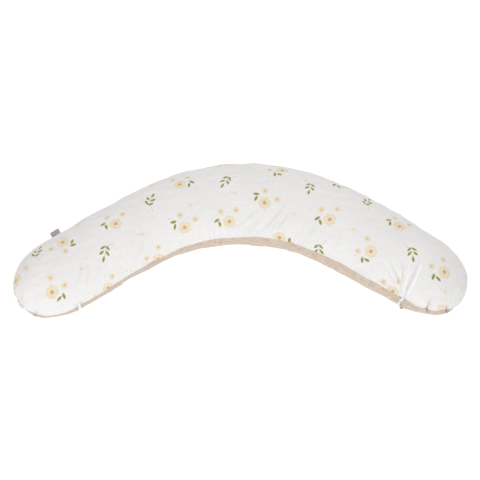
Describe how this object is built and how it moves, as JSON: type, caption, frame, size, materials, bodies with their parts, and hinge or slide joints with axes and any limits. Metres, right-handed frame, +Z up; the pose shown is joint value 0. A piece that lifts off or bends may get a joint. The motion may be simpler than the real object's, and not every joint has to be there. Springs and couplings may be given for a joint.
{
  "type": "nursing pillow",
  "caption": "Crescent nursing pillow: a zipped two-panel cloth cover with a tie at each end over a sewn inner cushion filled with beads.",
  "frame": {"origin": "centre of the pillow's own box, without the ties, on the flat underside that rests on the floor", "axes": "+X along the span from end to end, +Y from the bay towards the outer bend, +Z up"},
  "size_m": [1.3988, 0.5458, 0.205],
  "materials": {
    "printed_cotton": "matte",
    "beige_melange": "matte",
    "case_cotton": "matte",
    "sewing_thread": "matte",
    "woven_tab": "matte",
    "satin_label": "satin",
    "zip_tape": "matte",
    "zip_nylon": "satin",
    "zip_metal": "satin",
    "bead_filling": "matte"
  },
  "bodies": {
    "cushion": {"cover_top_panel": "printed_cotton", "cover_bottom_panel": "beige_melange", "cover_seam_thread": "sewing_thread", "cover_tab": "woven_tab", "cover_care_label": "satin_label", "tie_left": "printed_cotton", "tie_right": "printed_cotton", "zip_tape_upper": "zip_tape", "zip_tape_lower": "zip_tape", "zip_coil_upper": "zip_nylon", "zip_coil_lower": "zip_nylon", "zip_topstitch": "sewing_thread", "zip_top_stops": "zip_metal", "zip_bottom_stop": "zip_metal", "inner_case_top": "case_cotton", "inner_case_bottom": "case_cotton", "inner_case_seam_thread": "sewing_thread", "inner_case_label": "satin_label", "bead_filling": "bead_filling"},
    "zip_slider": {"zip_slider": "zip_metal"},
    "zip_pull": {"zip_pull": "zip_metal"}
  },
  "joints": [
    {"name": "zip_travel", "type": "hinge", "parent": "cushion", "child": "zip_slider", "pos_m": [0, -0.43523, 0.105], "axis": [0, 0, -1], "range_deg": [0, 45.5]},
    {"name": "pull_flip", "type": "hinge", "parent": "zip_slider", "child": "zip_pull", "pos_m": [-0.27463, 0.21925, 0.105], "axis": [0, 0, 1], "range_deg": [0, 180]}
  ]
}
